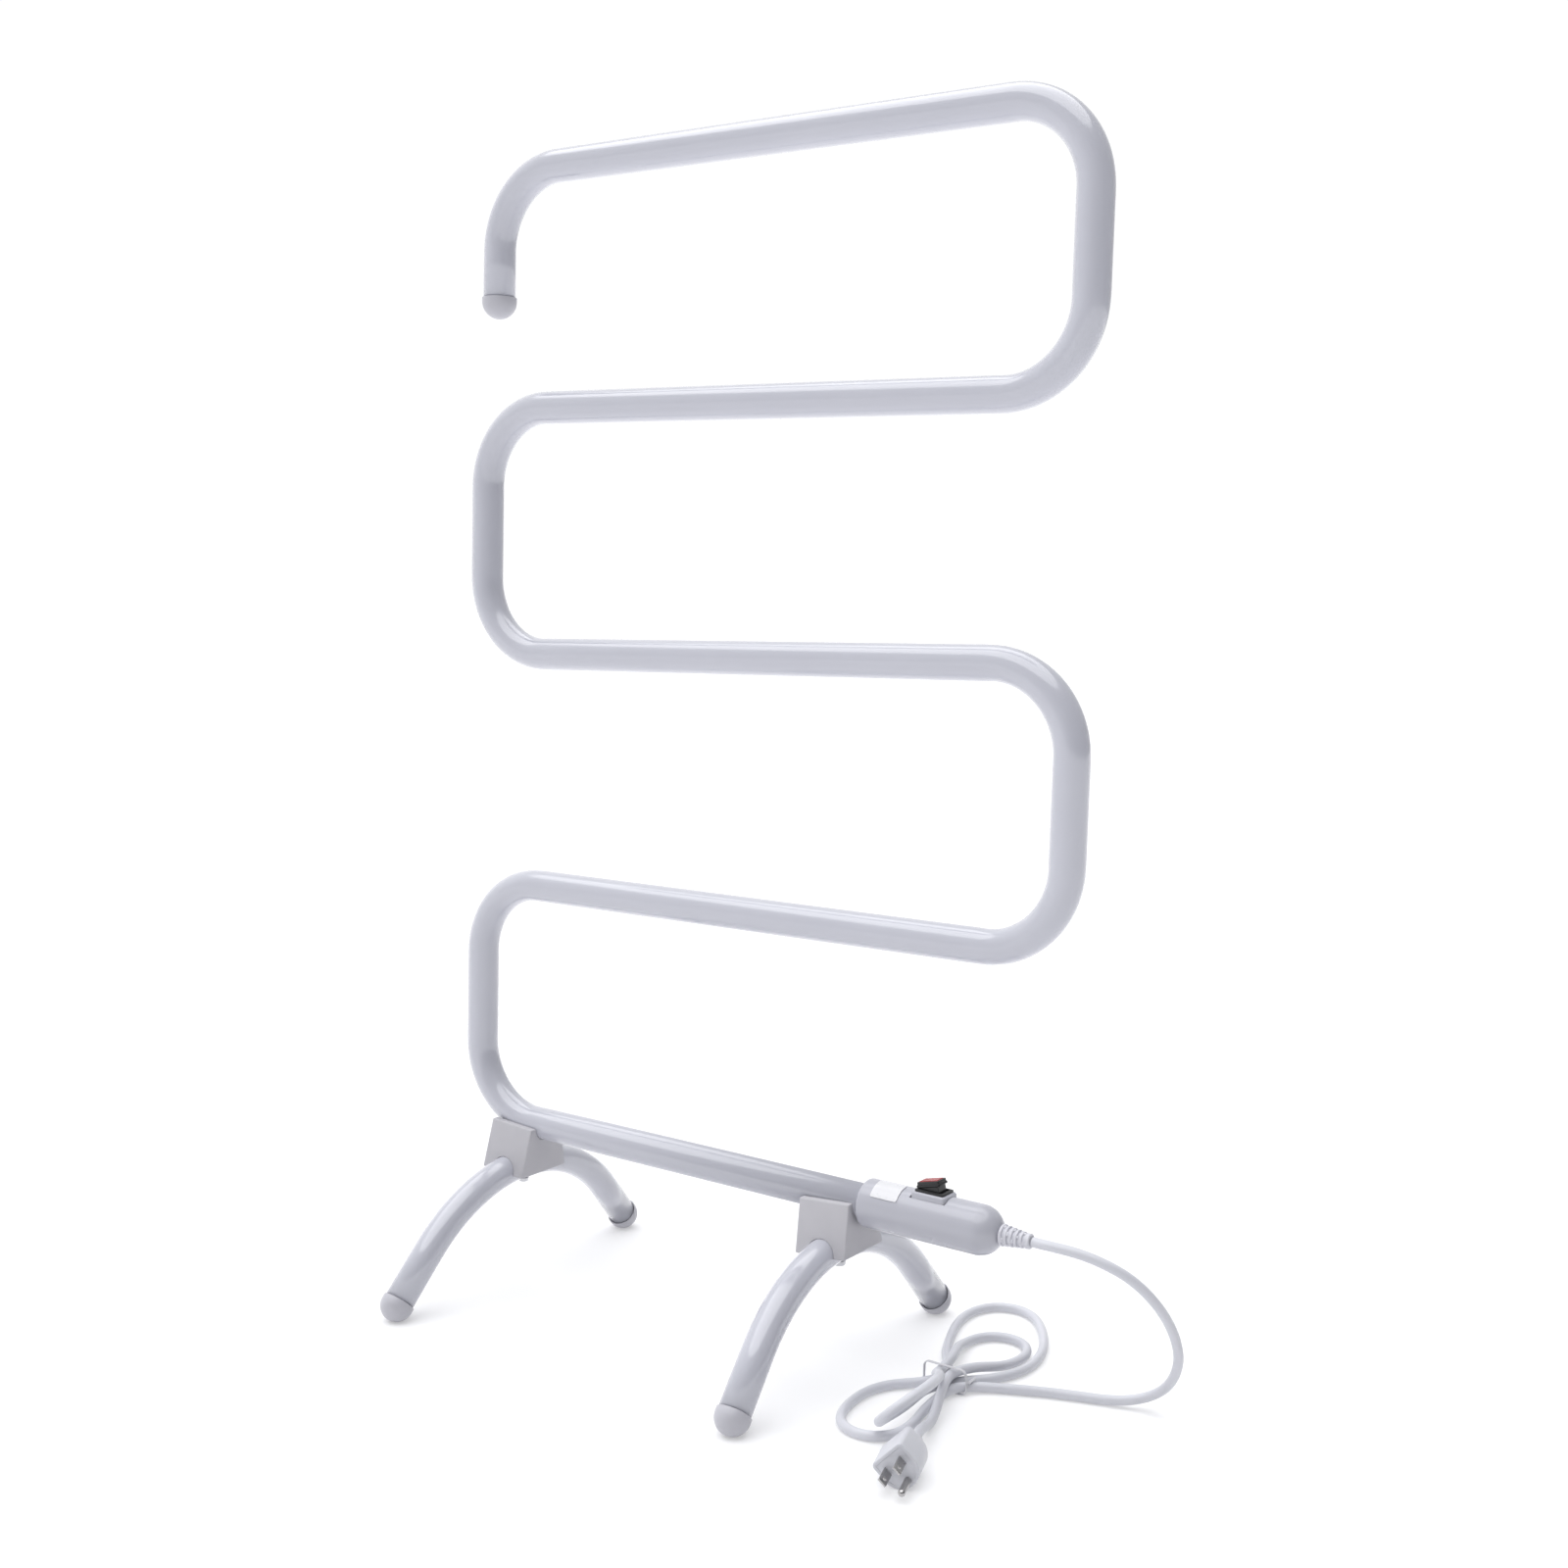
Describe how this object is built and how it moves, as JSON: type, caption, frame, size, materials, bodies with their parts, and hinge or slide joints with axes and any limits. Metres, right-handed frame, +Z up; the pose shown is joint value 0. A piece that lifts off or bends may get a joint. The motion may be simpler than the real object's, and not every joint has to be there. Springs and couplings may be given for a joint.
{
  "type": "towel warmer rack",
  "caption": "Free-standing electric towel warmer: one white tube bent into a serpentine of bars on arched feet, with a rocker switch housing and a mains cord on the lowest bar.",
  "frame": {"origin": "on the floor under the middle of the rack, halfway between the uprights", "axes": "+X along the bars towards the cord, +Y away from the side the label faces, +Z up"},
  "size_m": [0.6079, 0.3275, 0.8905],
  "materials": {
    "powder_coat": "gloss powder coat",
    "saddle_plastic": "matte moulded",
    "cap_plastic": "satin moulded",
    "housing_plastic": "gloss moulded",
    "label_film": "satin film",
    "black_plastic": "satin moulded",
    "black_rubber": "matte",
    "red_lens": "gloss translucent",
    "cord_pvc": "satin flexible",
    "plated_steel": "bright plated",
    "brass": "bright",
    "cable_sheath": "silicone",
    "wire_sheath": "matte",
    "ceramic": "matte"
  },
  "bodies": {
    "frame": {"rack_tube": "powder_coat", "foot_tube_left": "powder_coat", "foot_tube_right": "powder_coat", "heating_cable": "cable_sheath", "hook_end_cap": "cap_plastic", "foot_cap_left_front": "cap_plastic", "foot_cap_left_back": "cap_plastic", "foot_cap_right_front": "cap_plastic", "foot_cap_right_back": "cap_plastic", "saddle_left": "saddle_plastic", "saddle_right": "saddle_plastic", "saddle_screw_left": "plated_steel", "saddle_screw_right": "plated_steel", "housing_screw_tube_end": "plated_steel", "housing_screw_cord_end": "plated_steel", "rocker_pin": "plated_steel", "crimp_live": "plated_steel", "crimp_neutral": "plated_steel", "earth_screw": "plated_steel", "housing_upper": "housing_plastic", "housing_lower": "housing_plastic", "switch_bezel": "housing_plastic", "switch_body": "black_plastic", "rocker_boot": "black_rubber", "switch_terminal_lamp": "brass", "switch_terminal_line": "brass", "switch_terminal_load": "brass", "earth_lug": "brass", "plug_blade_line": "brass", "plug_blade_neutral": "brass", "plug_earth_pin": "brass", "thermal_cutout": "ceramic", "heater_lead_live": "wire_sheath", "cutout_lead": "wire_sheath", "load_lead": "wire_sheath", "live_lead": "wire_sheath", "neutral_lead": "wire_sheath", "heater_lead_neutral": "wire_sheath", "earth_lead": "wire_sheath", "rating_label": "label_film", "strain_relief": "cord_pvc", "power_cord": "cord_pvc", "cord_tie": "cord_pvc", "plug_body": "cord_pvc"},
    "rocker": {"rocker": "black_plastic", "rocker_lens": "red_lens"}
  },
  "joints": [
    {"name": "rocker_switch", "type": "hinge", "parent": "frame", "child": "rocker", "pos_m": [0.169, 0, 0.14454], "axis": [0, 1, 0], "range_deg": [0, 28]}
  ]
}
